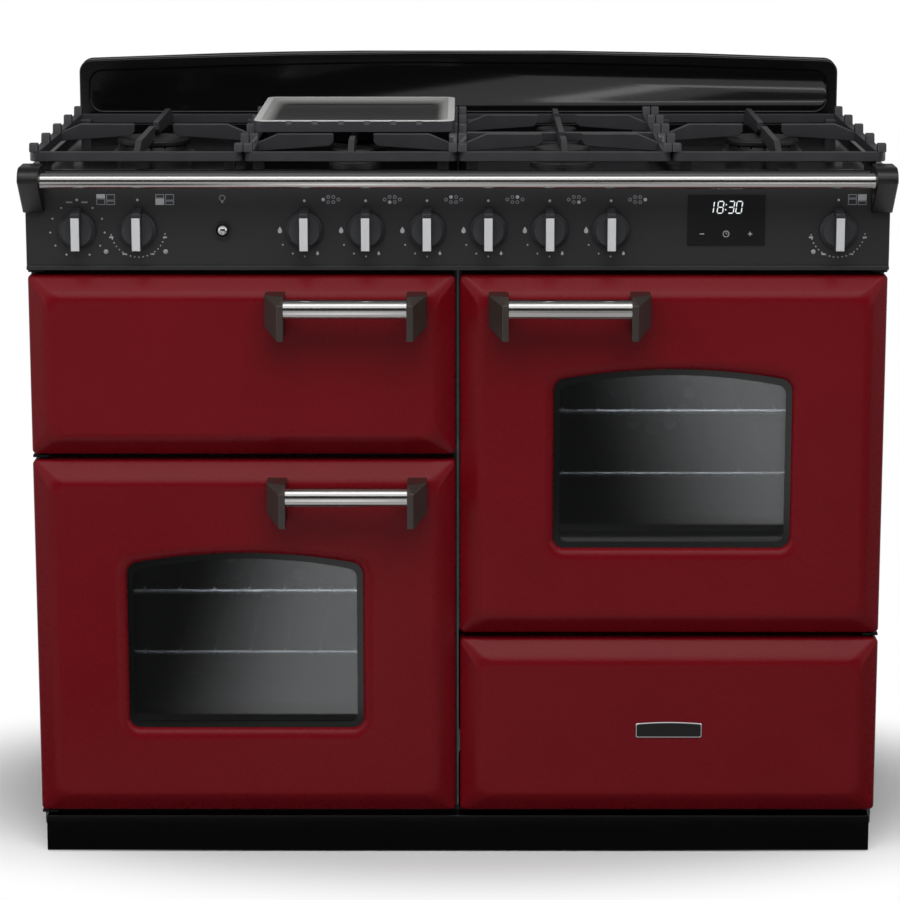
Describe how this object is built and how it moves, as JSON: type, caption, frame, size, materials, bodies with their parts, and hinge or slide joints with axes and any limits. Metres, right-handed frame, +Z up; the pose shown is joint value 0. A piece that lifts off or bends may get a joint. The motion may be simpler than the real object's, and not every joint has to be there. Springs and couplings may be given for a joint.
{
  "type": "range cooker",
  "caption": "Free-standing dual-fuel range cooker with gas burners, griddle, grill, two side-hinged ovens, storage drawer and front rail.",
  "frame": {"origin": "on the floor under the middle of the whole outline, handles included", "axes": "+X to the right seen from the front, +Y to the back, +Z up; the doors face -Y"},
  "size_m": [1.096, 0.663, 1.0049],
  "materials": {
    "burgundy_enamel": "satin gloss vitreous enamel",
    "black_enamel": "satin black enamel",
    "zinc_steel": "plain zinc-coated sheet",
    "oven_enamel": "speckled dark oven enamel",
    "chromed_wire": "bright chromed wire",
    "polished_steel": "polished",
    "handle_moulding": "satin bronze-charcoal moulding",
    "window_glass": "tinted polished glass",
    "clock_glass": "gloss black",
    "knob_plastic": "satin black",
    "switch_plastic": "matt black",
    "support_iron": "matt enamelled iron",
    "griddle_alloy": "polished rim, non-stick plate",
    "burner_alloy": "cast, satin",
    "element_steel": "heat-tinted sheath"
  },
  "bodies": {
    "cooker": {"hob_tray": "black_enamel", "upstand": "black_enamel", "control_panel": "black_enamel", "plinth": "black_enamel", "left_side_panel": "black_enamel", "right_side_panel": "black_enamel", "rail_brackets": "black_enamel", "burner_caps": "black_enamel", "base_pan": "zinc_steel", "back_panel": "zinc_steel", "centre_divider": "zinc_steel", "drawer_runners": "zinc_steel", "door_hinges": "zinc_steel", "gas_rail": "zinc_steel", "fan_motors": "zinc_steel", "left_oven_cavity": "oven_enamel", "right_oven_cavity": "oven_enamel", "grill_cavity": "oven_enamel", "fan_covers": "oven_enamel", "grill_pan": "oven_enamel", "oven_racks": "chromed_wire", "front_rail": "polished_steel", "clock_module": "clock_glass", "oven_switches": "switch_plastic", "levelling_feet": "switch_plastic", "burner_bases": "burner_alloy", "grill_element": "element_steel"},
    "grill_door": {"grill_door_panel": "burgundy_enamel", "grill_door_liner": "zinc_steel", "grill_handle_bar": "polished_steel", "grill_handle_ends": "handle_moulding"},
    "left_oven_door": {"left_oven_door_panel": "burgundy_enamel", "left_oven_door_liner": "zinc_steel", "left_oven_door_glass": "window_glass", "left_oven_handle_bar": "polished_steel", "left_oven_handle_ends": "handle_moulding"},
    "right_oven_door": {"right_oven_door_panel": "burgundy_enamel", "right_oven_door_liner": "zinc_steel", "right_oven_door_glass": "window_glass", "right_oven_handle_bar": "polished_steel", "right_oven_handle_ends": "handle_moulding"},
    "drawer": {"drawer_front": "burgundy_enamel", "drawer_box": "zinc_steel"},
    "light_button": {"light_button": "polished_steel"},
    "griddle": {"griddle": "griddle_alloy"},
    "left_fan": {"left_fan": "burner_alloy"},
    "right_fan": {"right_fan": "burner_alloy"},
    "pan_support_1": {"pan_support_1": "support_iron"},
    "pan_support_2": {"pan_support_2": "support_iron"},
    "pan_support_3": {"pan_support_3": "support_iron"},
    "pan_support_4": {"pan_support_4": "support_iron"},
    "grill_knob": {"grill_knob": "knob_plastic"},
    "left_oven_knob": {"left_oven_knob": "knob_plastic"},
    "right_oven_knob": {"right_oven_knob": "knob_plastic"},
    "burner_knob_1": {"burner_knob_1": "knob_plastic"},
    "burner_knob_2": {"burner_knob_2": "knob_plastic"},
    "burner_knob_3": {"burner_knob_3": "knob_plastic"},
    "burner_knob_4": {"burner_knob_4": "knob_plastic"},
    "burner_knob_5": {"burner_knob_5": "knob_plastic"},
    "burner_knob_6": {"burner_knob_6": "knob_plastic"}
  },
  "joints": [
    {"name": "grill_door_hinge", "type": "hinge", "parent": "cooker", "child": "grill_door", "pos_m": [-0.536, -0.2425, 0.6545], "axis": [0, 0, -1], "range_deg": [0, 100]},
    {"name": "left_oven_door_hinge", "type": "hinge", "parent": "cooker", "child": "left_oven_door", "pos_m": [-0.536, -0.2425, 0.295], "axis": [0, 0, -1], "range_deg": [0, 100]},
    {"name": "right_oven_door_hinge", "type": "hinge", "parent": "cooker", "child": "right_oven_door", "pos_m": [0.536, -0.2425, 0.536], "axis": [0, 0, 1], "range_deg": [0, 100]},
    {"name": "drawer_slide", "type": "slide", "parent": "cooker", "child": "drawer", "axis": [0, -1, 0], "range_m": [0, 0.38]},
    {"name": "light_button_press", "type": "slide", "parent": "cooker", "child": "light_button", "axis": [0, 1, 0], "range_m": [0, 0.003], "stiffness_N_per_m": 400},
    {"name": "grill_knob_turn", "type": "hinge", "parent": "cooker", "child": "grill_knob", "pos_m": [-0.4805, -0.263, 0.829], "axis": [0, 1, 0], "range_deg": [-150, 150]},
    {"name": "left_oven_knob_turn", "type": "hinge", "parent": "cooker", "child": "left_oven_knob", "pos_m": [-0.404, -0.263, 0.829], "axis": [0, 1, 0], "range_deg": [0, 270]},
    {"name": "right_oven_knob_turn", "type": "hinge", "parent": "cooker", "child": "right_oven_knob", "pos_m": [0.4805, -0.263, 0.829], "axis": [0, 1, 0], "range_deg": [0, 270]},
    {"name": "burner_knob_1_turn", "type": "hinge", "parent": "cooker", "child": "burner_knob_1", "pos_m": [-0.1935, -0.263, 0.829], "axis": [0, -1, 0], "range_deg": [0, 220]},
    {"name": "burner_knob_2_turn", "type": "hinge", "parent": "cooker", "child": "burner_knob_2", "pos_m": [-0.1161, -0.263, 0.829], "axis": [0, -1, 0], "range_deg": [0, 220]},
    {"name": "burner_knob_3_turn", "type": "hinge", "parent": "cooker", "child": "burner_knob_3", "pos_m": [-0.0387, -0.263, 0.829], "axis": [0, -1, 0], "range_deg": [0, 220]},
    {"name": "burner_knob_4_turn", "type": "hinge", "parent": "cooker", "child": "burner_knob_4", "pos_m": [0.0387, -0.263, 0.829], "axis": [0, -1, 0], "range_deg": [0, 220]},
    {"name": "burner_knob_5_turn", "type": "hinge", "parent": "cooker", "child": "burner_knob_5", "pos_m": [0.1161, -0.263, 0.829], "axis": [0, -1, 0], "range_deg": [0, 220]},
    {"name": "burner_knob_6_turn", "type": "hinge", "parent": "cooker", "child": "burner_knob_6", "pos_m": [0.1935, -0.263, 0.829], "axis": [0, -1, 0], "range_deg": [0, 220]},
    {"name": "pan_support_1_lift", "type": "slide", "parent": "cooker", "child": "pan_support_1", "axis": [0, 0, 1], "range_m": [0, 0.12]},
    {"name": "pan_support_2_lift", "type": "slide", "parent": "cooker", "child": "pan_support_2", "axis": [0, 0, 1], "range_m": [0, 0.12]},
    {"name": "pan_support_3_lift", "type": "slide", "parent": "cooker", "child": "pan_support_3", "axis": [0, 0, 1], "range_m": [0, 0.12]},
    {"name": "pan_support_4_lift", "type": "slide", "parent": "cooker", "child": "pan_support_4", "axis": [0, 0, 1], "range_m": [0, 0.12]},
    {"name": "griddle_lift", "type": "slide", "parent": "pan_support_2", "child": "griddle", "axis": [0, 0, 1], "range_m": [0, 0.15]},
    {"name": "left_fan_spin", "type": "hinge", "parent": "cooker", "child": "left_fan", "pos_m": [-0.2745, 0.18, 0.295], "axis": [0, 1, 0], "continuous": true},
    {"name": "right_fan_spin", "type": "hinge", "parent": "cooker", "child": "right_fan", "pos_m": [0.2745, 0.18, 0.536], "axis": [0, 1, 0], "continuous": true}
  ]
}
